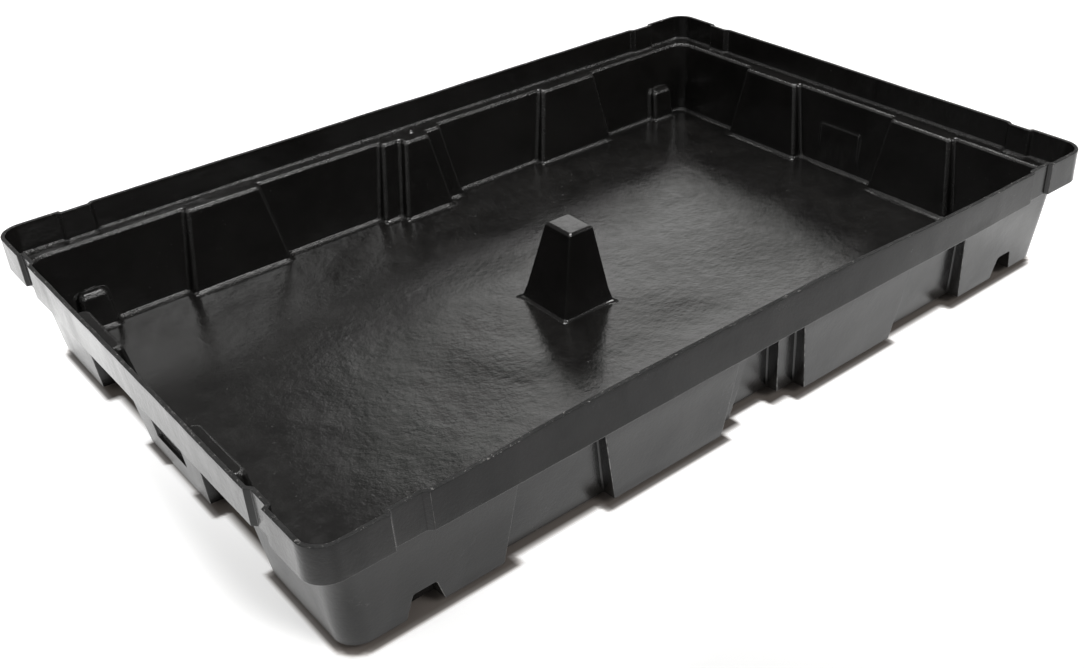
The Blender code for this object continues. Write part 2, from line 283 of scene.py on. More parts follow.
# The photograph's viewpoint.
CAMERA_PLACE = Vector((-0.895187, -1.148525, 0.881875))
CAMERA_FORWARD = Vector((0.5361691, 0.64575641, -0.54361876))
CAMERA_RIGHT = Vector((0.75827231, -0.65142196, -0.02593311))
CAMERA_SENSOR = 36.0
CAMERA_LENS = 40.541
CAMERA_SHIFT = (-0.05333, 0.00261)
CAMERA_CLIP = 0.01

CUT_BREAK = 0.0006  # the trimmed edge's corners are broken by this much
FINISHES = ("mould", "cut", "inner")  # the skins' material slots, in order
MOULD_SLOT = FINISHES.index("mould")
INNER_SLOT = FINISHES.index("inner")

# Ring density.
POST_ARC_STEPS = 6
POST_SIDE_STEPS = 16
FLOOR_SPACING = 0.010
UNDERSIDE_SPACING = 0.030
FLOOR_CLEAR = 0.55  # share of the spacing kept between a floor point and an edge
ARC_STEPS = 4
CORNER_STEPS = 20
SPACING = 0.006
LEAST_TANGENT = 0.0004

SIDES = ("front", "right", "back", "left")
CORNERS = ("front_right", "back_right", "back_left", "front_left")


def is_long(side):
    return side in ("front", "back")


def plane_inset(plane, height):
    share = (LEDGE_TOP - height) / (LEDGE_TOP - EDGE_BOTTOM)
    return PLANE_TOP[plane] * (1 - share) + PLANE_BOTTOM[plane] * share


def panel_end(middle, grows, height):
    return middle + grows * END_SLOPE * (MID_HEIGHT - height)


def quarter_round(share):
    """1 up to share 0, then down a quarter circle to 0 at share 1."""
    share = min(1.0, max(0.0, share))
    return sqrt(1.0 - share * share)


def recess_points(side, height, inside):
    """The four plan points of a lifting recess: two where it leaves the wall, two at its back."""
    recess = RECESSES[side]
    top = EDGE_BOTTOM + recess["height"] + (SHEET if inside else 0.0)
    bend = recess["round"]
    level = min(height, top)
    half = recess["half"] - recess["lean"] * (level - EDGE_BOTTOM)
    above_bend = max(0.0, level - (top - bend))
    half -= bend - sqrt(max(0.0, bend * bend - above_bend * above_bend))
    ceiling = STUB_CEILING if inside else RECESS_CEILING
    depth = recess["depth"] * quarter_round((height - (top - ceiling)) / ceiling)
    wall = plane_inset("outer", height)
    centre = recess["centre"]
    return [
        (centre - half, wall), (centre - half + RECESS_RUN, wall + depth),
        (centre + half - RECESS_RUN, wall + depth), (centre + half, wall),
    ]


def pad_depth(height, inside):
    fade = PAD_INNER_FADE if inside else PAD["fade"]
    rise = min(1.0, max(0.0, (height - PAD["low"]) / (4 * fade if inside else fade)))
    fall = min(1.0, max(0.0, (PAD["high"] - height) / fade))
    share = min(rise, fall)
    return (PAD_INNER_DEPTH if inside else PAD["depth"]) * share * (2 - share)


def wall_panels(side, height, inside):
    """Half a wall's steps from its middle out, as (along, inset)."""
    middle = plane_inset("middle", height)
    outer = plane_inset("outer", height)
    if not is_long(side):
        panel = panel_end(SHORT_PANEL, -1, height)
        foot = panel_end(SHORT_FOOT, 1, height)
        run = PAD_INNER_RUN if inside else PAD["run"]
        return [
            (PAD["half"], outer + pad_depth(height, inside)), (PAD["half"] + run, outer),
            (panel, outer), (panel + STEP_RUN, middle), (foot - STEP_RUN, middle), (foot, outer),
        ]
    inner = plane_inset("inner", height)
    recess = panel_end(LONG_RECESS, 1, height)
    start = panel_end(LONG_PANEL_INNER, 1, height)
    stop = panel_end(LONG_PANEL_OUTER, -1, height)
    foot = panel_end(LONG_FOOT, 1, height)
    return [
        (recess - STEP_RUN, inner), (recess, middle), (start - STEP_RUN, middle), (start, outer),
        (stop, outer), (stop + STEP_RUN, middle), (foot - STEP_RUN, middle), (foot, outer),
    ]


def rim_steps(side):
    kind = "long" if is_long(side) else "short"
    end = RIM_PANEL_END[kind]
    start = RIM_CORNER_START[kind]
    return [
        (end, 0.0), (end + RIM_STEP_RUN, RIM_INSET),
        (start - RIM_CORNER_RUN, RIM_INSET), (start, 0.0),
    ]


def half_outline(side, form, height, inside):
    """Half a side's plan points from its middle out. Every form has the same number of them."""
    panels = wall_panels(side, min(height, LEDGE_TOP), inside)
    plane = 0.0 if form == "rim" else plane_inset("outer", height)

    def on_plane(places):
        return [(along, plane) for along in places]

    if form == "rim":
        panels = on_plane(along for along, _ in panels)
        steps, recess = rim_steps(side), on_plane(RECESS_PLACES.get(side, ()))
    elif is_long(side):
        steps, recess = on_plane(RIM_PLACES[side]), recess_points(side, height, inside)
    else:
        steps, recess = on_plane(along for along, _ in rim_steps(side)), []
    return panels + (recess + steps if side == "front" else steps + recess)


def side_point(side, along, inset):
    return {
        "front": (along, inset - HALF_WIDTH), "right": (HALF_LENGTH - inset, along),
        "back": (-along, HALF_WIDTH - inset), "left": (inset - HALF_LENGTH, -along),
    }[side]


def outline(form, height, inside):
    """All plan points of the tray at one height, anticlockwise, and which of them are corners."""
    halves = {side: half_outline(side, form, height, inside) for side in SIDES}
    points = []
    corner = []
    for index, side in enumerate(SIDES):
        half = halves[side]
        whole = [(-along, inset) for along, inset in reversed(half)] + half
        points.extend(side_point(side, along, inset) for along, inset in whole)
        corner.extend([False] * len(whole))
        after = halves[SIDES[(index + 1) % 4]][-1][1]
        x = HALF_LENGTH - (after if is_long(side) else half[-1][1])
        y = HALF_WIDTH - (half[-1][1] if is_long(side) else after)
        turn = ((1, -1), (1, 1), (-1, 1), (-1, -1))[index]
        points.append((turn[0] * x, turn[1] * y))
        corner.append(True)
    return np.array(points), np.array(corner)


def offset_outline(points, distance):
    """Move every edge of an anticlockwise outline inwards by a distance."""
    edge = np.roll(points, -1, axis=0) - points
    edge /= np.linalg.norm(edge, axis=1)[:, None]
    normal = np.stack([-edge[:, 1], edge[:, 0]], axis=1)
    before = np.roll(normal, 1, axis=0)
    share = 1 + (normal * before).sum(1)
    return points + distance * (normal + before) / share[:, None]


def tangent_lengths(points, corner, convex_radius, concave_radius, corner_radius):
    """How far each rounding reaches along its two edges, kept apart from its neighbours."""
    edge = np.roll(points, -1, axis=0) - points
    length = np.linalg.norm(edge, axis=1)
    direction = edge / length[:, None]
    before = np.roll(direction, 1, axis=0)
    cross = before[:, 0] * direction[:, 1] - before[:, 1] * direction[:, 0]
    dot = (before * direction).sum(1)
    turn = np.arctan2(cross, dot)
    radius = np.where(cross > 0, convex_radius, concave_radius)
    radius = np.where(corner, corner_radius, radius)
    reach = np.maximum(radius * np.tan(np.abs(turn) / 2), LEAST_TANGENT)
    wanted = reach + np.roll(reach, -1)
    squeeze = np.minimum(1.0, 0.94 * length / wanted)
    reach = reach * np.minimum(squeeze, np.roll(squeeze, 1))
    return direction, before, turn, reach


class Ring:
    """Turns outlines into rings that all have the same number of points."""

    def __init__(self):
        wall, self.corner = outline("wall", MID_HEIGHT, False)
        rim, _ = outline("rim", RIM_TOP, False)
        lengths = [
            np.linalg.norm(np.roll(points, -1, axis=0) - points, axis=1) for points in (wall, rim)
        ]
        self.between = [max(1, ceil(value / SPACING)) for value in np.maximum(*lengths)]
        self.starts = []
        self.count = 0
        for k in range(len(self.corner)):
            self.starts.append(self.count)
            self.count += self.steps(k) + self.between[k]

    def steps(self, k):
        return CORNER_STEPS if self.corner[k] else ARC_STEPS

    def points(self, vertices, convex_radius, concave_radius, corner_radius):
        direction, before, turn, reach = tangent_lengths(
            vertices, self.corner, convex_radius, concave_radius, corner_radius)
        made = []
        for k, vertex in enumerate(vertices):
            share = np.linspace(0, 1, self.steps(k) + 1)[:, None]
            start = vertex - before[k] * reach[k]
            end = vertex + direction[k] * reach[k]
            weight = cos(turn[k] / 2)
            top = start * (1 - share) ** 2 + 2 * weight * vertex * share * (1 - share) + end * share ** 2
            below = (1 - share) ** 2 + 2 * weight * share * (1 - share) + share ** 2
            made.append(top / below)
            following = (k + 1) % len(vertices)
            next_start = vertices[following] - before[following] * reach[following]
            inner = np.linspace(0, 1, self.between[k] + 1)[1:-1, None]
            made.append(end + (next_start - end) * inner)
        return np.concatenate(made)


RING = Ring()


def sheet_ring(form, height, offset, inside):
    vertices = offset_outline(outline(form, height, inside)[0], offset)
    edges = (INNER_FOLD, INNER_EDGE) if inside else (MOULD_EDGE, MOULD_FOLD)
    radius = (RIM_RADIUS if form == "rim" else WALL_RADIUS) - offset
    return at_height(RING.points(vertices, *edges, radius), height)


def mould_ring(form, height, offset=0.0):
    return sheet_ring(form, height, offset, False)


def inner_ring(form, height, offset):
    """A ring on the glossy side. Its offset is measured from the mould side."""
    return sheet_ring(form, height, offset, True)


def post_ring(half_x, half_y, radius, height, lean=0.0):
    """A rounded rectangle with the same number of points at any size."""
    made = []
    for quarter_turn in range(4):
        centre_x = (half_x - radius) * (1, 1, -1, -1)[quarter_turn]
        centre_y = (half_y - radius) * (-1, 1, 1, -1)[quarter_turn]
        for step in range(POST_ARC_STEPS + 1):
            angle = pi / 2 * (quarter_turn - 1 + step / POST_ARC_STEPS)
            made.append((centre_x + radius * cos(angle), centre_y + radius * sin(angle)))
        length = half_y if quarter_turn in (0, 2) else half_x
        ahead = 2 * (length - radius)
        angle = pi / 2 * (quarter_turn + 1)
        last = made[-1]
        for step in range(1, POST_SIDE_STEPS):
            share = ahead * step / POST_SIDE_STEPS
            made.append((last[0] + share * cos(angle), last[1] + share * sin(angle)))
    ring = at_height(np.array(made), height)
    ring[:, 0] += POST_LEAN.x * lean
    ring[:, 1] += POST_LEAN.y * lean
    return ring


def at_height(plan, height):
    return np.column_stack([plan, np.full(len(plan), height)])


def between_rings(first, last, shares):
    return [first + (last - first) * share for share in shares]


def quarter(steps=4):
    """Pairs (1 - cos, 1 - sin) from the start of a quarter circle to its end."""
    angles = [pi / 2 * k / steps for k in range(steps + 1)]
    return [(1 - cos(angle), 1 - sin(angle)) for angle in angles]


def wall_levels(high, low, inside):
    """Heights of a wall's rings from low to high, closer where a recess or a pad ends."""
    levels = list(np.linspace(high, PAD["high"] + 0.005, 6))
    levels += list(np.linspace(PAD["high"] - 0.005, low, 26))
    fade = PAD_INNER_FADE if inside else PAD["fade"]
    required = [PAD["low"], PAD["low"] + fade, PAD["high"] - fade, PAD["high"] - 0.4 * fade, PAD["high"]]
    ceiling = STUB_CEILING if inside else RECESS_CEILING
    for recess in RECESSES.values():
        top = EDGE_BOTTOM + recess["height"] + (SHEET if inside else 0.0)
        required += [top - ceiling * part for part in (0.0, 0.05, 0.3, 0.6, 1.0)]
    kept = [level for level in levels if min(abs(level - place) for place in required) > 0.0007]
    return sorted(kept + required)


def dish_height(points):
    """The floor's dish under the sheet: flat in the middle, rising to the walls."""
    along = np.abs(points[..., 0] / DISH_REACH[0])
    across = np.abs(points[..., 1] / DISH_REACH[1])
    reach = (along ** 4 + across ** 4) ** 0.25
    share = np.clip((reach - DISH_FLAT) / (1 - DISH_FLAT), 0, 1)
    return EDGE_BOTTOM * share * share * (3 - 2 * share)


def floor_height(points):
    """The height of the floor's inner face."""
    flat = at_height(points[:, :2], 0.0)
    uneven = waves(flat, *FLOOR_DRIFT) + waves(flat, *FLOOR_RIPPLE)
    return SHEET + dish_height(points) + uneven


def floor_normals(points):
    """Normals of the floor's inner face, from its slope."""
    step = 0.001
    slope = []
    for axis in (0, 1):
        move = np.zeros(points.shape[-1])
        move[axis] = step
        slope.append((floor_height(points + move) - floor_height(points - move)) / (2 * step))
    normal = np.stack([-slope[0], -slope[1], np.ones(len(points))], axis=1)
    return normal / np.linalg.norm(normal, axis=1)[:, None]


class Sheet:
    """The sheet's rings in order, the finish of the strip after each, and where parts meet."""

    def __init__(self):
        self.rings = []
        self.finish = []
        self.seams = []

    def add(self, ring, finish):
        self.rings.append(ring)
        self.finish.append(finish)

    def seam(self):
        self.seams.append(len(self.rings) - 1)


def post_level(height, grow, radius):
    """A ring round the post at one height, grown by so much outwards."""
    share = height / POST_TOP
    half = POST_BASE.lerp(POST_TOP_HALF, share)
    return post_ring(half.x + grow, half.y + grow, radius, height, share)


def mould_side(sheet):
    """From the floor's edge up to the trimmed edge."""
    sheet.add(mould_ring("wall", EDGE_BOTTOM, SHEET), "mould")
    for up, away in quarter(3):
        sheet.add(mould_ring("wall", EDGE_BOTTOM + MOULD_EDGE * up, MOULD_EDGE * away), "mould")
    for height in wall_levels(LEDGE_UNDER - MOULD_FOLD, EDGE_BOTTOM + MOULD_EDGE, False)[1:]:
        sheet.add(mould_ring("wall", height), "mould")
    sheet.seam()
    for away, up in quarter(3)[1:]:
        sheet.add(mould_ring("wall", LEDGE_UNDER - MOULD_FOLD * up, -MOULD_FOLD * away), "mould")
    wall_side = sheet.rings[-1]
    rim_side = mould_ring("rim", LEDGE_UNDER, RIM_SHEET)
    for ring in between_rings(wall_side, rim_side, (0.35, 0.7, 1.0)):
        sheet.add(ring, "mould")
    sheet.seam()
    for up, away in quarter(3):
        sheet.add(mould_ring("rim", LEDGE_UNDER + MOULD_EDGE * up, MOULD_EDGE * away), "mould")
    for height in np.linspace(LEDGE_UNDER + MOULD_EDGE, RIM_TOP - CUT_BREAK, 8)[1:]:
        sheet.add(mould_ring("rim", height), "mould")


def trimmed_edge(sheet):
    sheet.finish[-1] = "cut"
    for share in (0.08, 0.35, 0.65, 0.92):
        sheet.add(mould_ring("rim", RIM_TOP, share * RIM_SHEET), "cut")


def inner_side(sheet):
    """From the trimmed edge down to the ledge and the wall, to the floor's edge."""
    for height in np.linspace(RIM_TOP - CUT_BREAK, LEDGE_TOP + LEDGE_FOLD, 7)[:-1]:
        sheet.add(inner_ring("rim", height, RIM_SHEET), "inner")
    for away, up in quarter():
        offset = RIM_SHEET + LEDGE_FOLD * away
        sheet.add(inner_ring("rim", LEDGE_TOP + LEDGE_FOLD * up, offset), "inner")
    sheet.seam()
    rim_side = sheet.rings[-1]
    edge = [
        inner_ring("wall", LEDGE_TOP - LEDGE_EDGE * down, SHEET - LEDGE_EDGE * away)
        for down, away in quarter(5)
    ]
    for ring in between_rings(rim_side, edge[0], (0.35, 0.7)) + edge:
        sheet.add(ring, "inner")
    sheet.seam()
    levels = wall_levels(LEDGE_TOP - LEDGE_EDGE, EDGE_BOTTOM + SHEET + FLOOR_FOLD, True)
    for height in levels[-2:0:-1]:
        sheet.add(inner_ring("wall", height, SHEET), "inner")
    for away, up in quarter():
        height = EDGE_BOTTOM + SHEET + FLOOR_FOLD * up
        sheet.add(inner_ring("wall", height, SHEET + FLOOR_FOLD * away), "inner")
    foot = sheet.rings[-1]
    foot[:, 2] = floor_height(foot)


def spread_webs(ring):
    """Push the foot of two of the post's corners outwards."""
    share = np.clip(1 - (ring[:, 2] - SHEET) / WEB_HEIGHT, 0, 1) ** 2
    for corner in WEB_CORNERS:
        outward = Vector(corner).normalized()
        place = Vector((corner[0] * POST_BASE.x, corner[1] * POST_BASE.y))
        near = np.exp(-((ring[:, :2] - place) ** 2).sum(1) / WEB_WIDTH ** 2)
        ring[:, :2] += np.outer(near * share, outward * WEB_REACH)


def post_rings():
    """The post's hollow from its cap down, then its outside from the floor up, as two lists."""
    cap = POST_TOP - SHEET
    hollow = []
    for share in (0.02, 0.5, 1.0):
        half = (POST_TOP_HALF - Vector((SHEET, SHEET))) * share
        hollow.append(post_ring(half.x, half.y, POST_HOLLOW_EDGE * share, cap, 1.0))
    for height in (0.9 * cap, 0.6 * cap, 0.3 * cap, 0.0):
        hollow.append(post_level(height, -SHEET, POST_HOLLOW_EDGE))
    outside = []
    for up, away in quarter():
        grow = POST_FOLD * away
        outside.append(post_level(SHEET + POST_FOLD * up, grow, POST_EDGE + grow))
    outside[0][:, 2] = floor_height(outside[0])
    for height in np.linspace(SHEET + POST_FOLD, POST_TOP - POST_BEVEL, 8)[1:-1]:
        outside.append(post_level(height, 0.0, POST_EDGE))
    for away, up in quarter():
        outside.append(post_level(POST_TOP - POST_BEVEL * up, -POST_BEVEL * away, POST_EDGE))
    for ring in outside:
        spread_webs(ring)
    for share in (0.6, 0.3, 0.02):
        half = (POST_TOP_HALF - Vector((POST_BEVEL, POST_BEVEL))) * share
        outside.append(post_ring(half.x, half.y, POST_EDGE * share, POST_TOP, 1.0))
    return hollow, outside


def waves(points, depth, size, seed, count=14):
    """A smooth wandering value of about one depth, from sine waves in all directions."""
    chance = np.random.default_rng(seed)
    total = np.zeros(points.shape[:-1])
    for _ in range(count):
        heading = chance.normal(size=3)
        heading /= np.linalg.norm(heading)
        size_here = size * chance.uniform(0.7, 1.5)
        total += np.sin(points @ heading * (2 * pi / size_here) + chance.uniform(0, 2 * pi))
    return depth * (total / sqrt(count / 2) / 2)


def smooth_share(value, start, end):
    share = np.clip((value - start) / (end - start), 0, 1)
    return share * share * (3 - 2 * share)


def bend_front_rim(points):
    """The front rim's top edge bows inwards between the corners."""
    x, y, z = np.moveaxis(points, -1, 0)
    bow = BOW_WHOLE * (1 - (x / HALF_LENGTH) ** 4)
    bow += BOW_MIDDLE * np.exp(-((x - BOW_CENTRE) / BOW_REACH) ** 4)
    rise = BOW_LEDGE * smooth_share(z, LEDGE_UNDER - BOW_DROP, LEDGE_UNDER)
    rise += (1 - BOW_LEDGE) * np.clip((z - LEDGE_UNDER) / (RIM_TOP - LEDGE_UNDER), 0, 1)
    near = smooth_share(-y, HALF_WIDTH - BOW_FADE[0], HALF_WIDTH - BOW_FADE[1])
    points[..., 1] += bow * rise * near


def smooth_columns(values, count):
    for _ in range(count):
        values = (np.roll(values, 1) + 2 * values + np.roll(values, -1)) / 4
    return values


def settle(points, finish):
    """Give the exact rings the unevenness of a real forming and a hand-trimmed edge."""
    normals = ring_normals(points)
    first_cut, last_cut = finish.index("cut"), len(finish) - 1 - finish[::-1].index("cut")
    normals[first_cut:last_cut + 1] = normals[first_cut - 2]
    inside = np.array([name == "inner" for name in finish])[:, None]
    height = points[..., 2]
    in_rim = smooth_share(height, LEDGE_UNDER - 0.004, LEDGE_TOP + 0.010)
    drift = waves(points, *WALL_DRIFT) + waves(points, *WALL_RIPPLE)
    drift = drift * (1 - in_rim) - np.abs(drift) * in_rim
    soft = waves(points, *INNER_RIPPLE) * inside * (1 - INNER_CALM * in_rim)
    move = np.where(inside, -1, 1) * drift + soft
    move *= smooth_share(height, EDGE_BOTTOM, EDGE_BOTTOM + DRIFT_FADE)
    points += normals * move[..., None]
    chance = np.random.default_rng(TRIM_SEED)
    ragged = smooth_columns(chance.uniform(0, 1, points.shape[1]), 1)
    torn = np.exp(-(np.linalg.norm(points[first_cut, :, :2] - TORN_PLACE, axis=1) / TORN_REACH) ** 2)
    trim = np.abs(waves(points[first_cut], *TRIM_WANDER))
    trim += (TRIM_NICK + TORN_NICK * torn) * ragged
    share = smooth_share(height, RIM_TOP - TRIM_DEPTH, RIM_TOP - CUT_BREAK)
    points[..., 2] -= trim * share
    bend_front_rim(points)
    np.clip(points, np.array(CAD_LOW), np.array(CAD_HIGH), out=points)
    return points


def edge_bend(points, normals):
    """How sharply a stack of rings bends at each point, in 1/m: edges positive, folds negative."""
    padded = np.concatenate([points[:1], points, points[-1:]])
    beside = [np.roll(points, 1, axis=1), np.roll(points, -1, axis=1), padded[:-2], padded[2:]]
    bend = np.zeros(points.shape[:-1])
    for pair in (beside[:2], beside[2:]):
        reach = np.linalg.norm(pair[0] - pair[1], axis=-1) / 2 + 1e-6
        sag = ((points - (pair[0] + pair[1]) / 2) * normals).sum(-1)
        bend += 2 * sag / reach ** 2
    return bend


def ring_normals(points):
    """Area-weighted normals of a stack of rings, so that regions shade as one surface."""
    beside = np.roll(points, -1, axis=1)
    across = beside[1:] - points[:-1]
    along = points[1:] - beside[:-1]
    face = np.cross(across, along)
    normal = np.zeros_like(points)
    for rows in (slice(0, -1), slice(1, None)):
        normal[rows] += face + np.roll(face, 1, axis=1)
    length = np.linalg.norm(normal, axis=2)
    return normal / np.maximum(length, 1e-12)[..., None]


def add_object(name, data):
    item = bpy.data.objects.new(name, data)
    bpy.context.scene.collection.objects.link(item)
    return item


def make_mesh(name, vertices, faces, slots, normals, bend, materials):
    """One skin, with how worn and painted-highlighted its edges and how coarse its folds are stored at
    its points.
    """
    mesh = bpy.data.meshes.new(name)
    mesh.from_pydata(vertices.tolist(), [], faces)
    for finish in FINISHES:
        mesh.materials.append(materials[finish])
    mesh.polygons.foreach_set("material_index", slots)
    mesh.polygons.foreach_set("use_smooth", [True] * len(faces))
    mesh.normals_split_custom_set_from_vertices(normals.tolist())
    edges = {
        "wear_and_highlight": smooth_share(bend, *WEAR_AND_HIGHLIGHT_BENDS),
        "fold": smooth_share(np.abs(bend), *FOLD_BENDS),
    }
    for attribute, values in edges.items():
        mesh.attributes.new(attribute, "FLOAT", "POINT").data.foreach_set("value", values)
    return add_object(name, mesh)


def strip(first, second, count, closed):
    """Faces between two rows of points that start at these indices."""
    faces = []
    for k in range(count if closed else count - 1):
        beside = (k + 1) % count
        faces.append((first + k, first + beside, second + beside, second + k))
    return faces


def make_region(name, runs, columns, form, sheet, materials):
    """A closed piece of sheet: the rings in each run, between two columns."""
    order = [k for first, last in runs for k in range(first, last + 1)]
    start, end = columns
    count = (end - start) % RING.count + 1
    picked = [(start + k) % RING.count for k in range(count)]
    vertices, shades, bend = (values[order][:, picked] for values in form)
    faces = []
    slots = []
    rows = len(order)
    for row in range(rows):
        following = (row + 1) % rows
        touching = order[following] == order[row] + 1
        slot = FINISHES.index(sheet.finish[order[row]]) if touching else MOULD_SLOT
        faces.extend(strip(row * count, following * count, count, False))
        slots.extend([slot] * (count - 1))
    faces.append(tuple(row * count for row in range(rows)))
    faces.append(tuple(row * count + count - 1 for row in reversed(range(rows))))
    slots.extend((MOULD_SLOT, MOULD_SLOT))
    return make_mesh(
        name, vertices.reshape(-1, 3), faces, slots, shades.reshape(-1, 3), bend.ravel(), materials)


def make_post(name, materials):
    """The hollow post, closed all round: its hollow, its foot and its outside."""
    hollow, outside = post_rings()
    count = len(hollow[0])
    points = np.array(hollow + outside)
    normals = np.concatenate([ring_normals(np.array(hollow)), ring_normals(np.array(outside))])
    normals[len(hollow)] = floor_normals(outside[0])
    faces = [tuple(reversed(range(count)))]
    slots = [MOULD_SLOT]
    for row in range(len(points) - 1):
        faces.extend(strip(row * count, (row + 1) * count, count, True))
        slots.extend([MOULD_SLOT if row < len(hollow) else INNER_SLOT] * count)
    faces.append(tuple((len(points) - 1) * count + k for k in range(count)))
    slots.append(INNER_SLOT)
    bend = POST_SHARPNESS * edge_bend(points, normals).ravel()
    shades = normals.reshape(-1, 3)
    item = make_mesh(name, points.reshape(-1, 3), faces, slots, shades, bend, materials)
    return item, hollow[-1], outside[0]


def inside_outline(places, outline_points):
    """Which places lie inside a closed outline."""
    x, y = places[:, 0][:, None], places[:, 1][:, None]
    first = outline_points[:, :2]
    second = np.roll(first, -1, axis=0)
    crosses = (first[:, 1] > y) != (second[:, 1] > y)
    rise = np.where(second[:, 1] == first[:, 1], 1e-12, second[:, 1] - first[:, 1])
    meet = first[:, 0] + (y - first[:, 1]) * (second[:, 0] - first[:, 0]) / rise
    return (np.sum(crosses & (x < meet), axis=1) % 2) == 1


def fill_floor(edge, mouth, spacing):
    """Triangles between the floor's edge and the post's foot: plan points and faces."""
    tree = KDTree(len(edge) + len(mouth))
    for k, point in enumerate(np.concatenate([edge, mouth])):
        tree.insert((point[0], point[1], 0), k)
    tree.balance()
    rows = np.arange(-HALF_WIDTH, HALF_WIDTH, spacing * sqrt(3) / 2)
    places = []
    for number, y in enumerate(rows):
        shift = spacing / 2 * (number % 2)
        places.extend((x + shift, y) for x in np.arange(-HALF_LENGTH, HALF_LENGTH, spacing))
    places = np.array(places)
    keep = inside_outline(places, edge) & ~inside_outline(places, mouth)
    places = np.array([p for p in places[keep] if tree.find((p[0], p[1], 0))[2] > FLOOR_CLEAR * spacing])
    plan = np.concatenate([edge[:, :2], mouth[:, :2], places])
    rings = [(0, len(edge)), (len(edge), len(mouth))]
    lines = [(start + k, start + (k + 1) % count) for start, count in rings for k in range(count)]
    made = delaunay_2d_cdt([Vector(p) for p in plan], lines, [], 1, 1e-7, True)
    source = [ids[0] for ids in made[3]]
    faces = np.array([[source[k] for k in face] for face in made[2]])
    middles = plan[faces].mean(axis=1)
    keep = inside_outline(middles, edge) & ~inside_outline(middles, mouth)
    return plan, faces[keep].tolist()


def facing_up(plan, triangles):
    """The same triangles, each turned so that it faces up."""
    turned = []
    for corners in triangles:
        a, b, c = (plan[k] for k in corners)
        up = (b[0] - a[0]) * (c[1] - a[1]) - (b[1] - a[1]) * (c[0] - a[0]) > 0
        turned.append(tuple(corners) if up else tuple(reversed(corners)))
    return turned


def make_floor_pan(name, under_edge, under_mouth, top_edge, top_mouth, materials):
    """The floor as a closed sheet: its inner face, its underside, and the two rims between."""
    top_plan, top_faces = fill_floor(top_edge, top_mouth, FLOOR_SPACING)
    low_plan, low_faces = fill_floor(under_edge, under_mouth, UNDERSIDE_SPACING)
    top = at_height(top_plan, 0.0)
    top[:, 2] = floor_height(top)
    low = at_height(low_plan, 0.0)
    low[:, 2] = dish_height(low)
    low[:len(under_edge), 2] = under_edge[:, 2]
    low[len(under_edge):len(under_edge) + len(under_mouth), 2] = 0.0
    start = len(top)
    count = len(top_edge)
    faces = facing_up(top_plan, top_faces)
    slots = [INNER_SLOT] * len(faces)
    for corners in facing_up(low_plan, low_faces):
        faces.append(tuple(start + k for k in reversed(corners)))
    faces.extend(strip(start, 0, count, True))
    faces.extend(strip(count, start + count, len(top_mouth), True))
    slots.extend([MOULD_SLOT] * (len(faces) - len(slots)))
    normals = np.concatenate([floor_normals(top), np.tile((0.0, 0.0, -1.0), (len(low), 1))])
    bend = np.zeros(len(normals))
    return make_mesh(name, np.concatenate([top, low]), faces, slots, normals, bend, materials)


def columns_of(form):
    """Where each side's and each corner's region starts and ends round the ring."""
    base = 0
    spans = []
    for side in SIDES:
        half = len(half_outline(side, form, MID_HEIGHT, False))
        if form == "rim":
            spare = len(RECESS_PLACES[side]) if side == "back" else 0
            start = RING.starts[base + spare] + ARC_STEPS
            end = RING.starts[base + 2 * half - 1 - spare]
        else:
            start = RING.starts[base - 1] + CORNER_STEPS
            end = RING.starts[base + 2 * half]
        spans.append((start % RING.count, end))
        base += 2 * half + 1
    found = {}
    for k, side in enumerate(SIDES):
        found[side] = spans[k]
        found[CORNERS[k]] = (spans[k][1], spans[(k + 1) % 4][0])
    return found


def build_tray(materials):
    sheet = Sheet()
    mould_side(sheet)
    trimmed_edge(sheet)
    inner_side(sheet)
    points = settle(np.array(sheet.rings), sheet.finish)
    normals = ring_normals(points)
    last = len(points) - 1
    normals[last] = floor_normals(points[last])
    normals[0] = (0.0, 0.0, -1.0)
    form = (points, normals, edge_bend(points, normals))
    wall_top, rim_foot, rim_inside, wall_inside = sheet.seams
    pieces = {}
    runs = {
        "wall": [(0, wall_top), (wall_inside, last)],
        "ledge": [(wall_top, rim_foot), (rim_inside, wall_inside)],
        "rim": [(rim_foot, rim_inside)],
    }
    for part, spans in runs.items():
        for region, columns in columns_of("rim" if part == "rim" else "wall").items():
            if region in CORNERS:
                node = f"{part}_corner_{region}"
            else:
                node = f"{region}_wall" if part == "wall" else f"{part}_{region}"
            name = node + "_skin"
            pieces[node] = make_region(name, spans, columns, form, sheet, materials)
    post, mouth, foot = make_post("centre_post_skin", materials)
    pieces["centre_post"] = post
    pieces["floor_pan"] = make_floor_pan(
        "floor_pan_skin", points[0], mouth, points[last], foot, materials)
    for node, item in pieces.items():
        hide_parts(node)
    return pieces


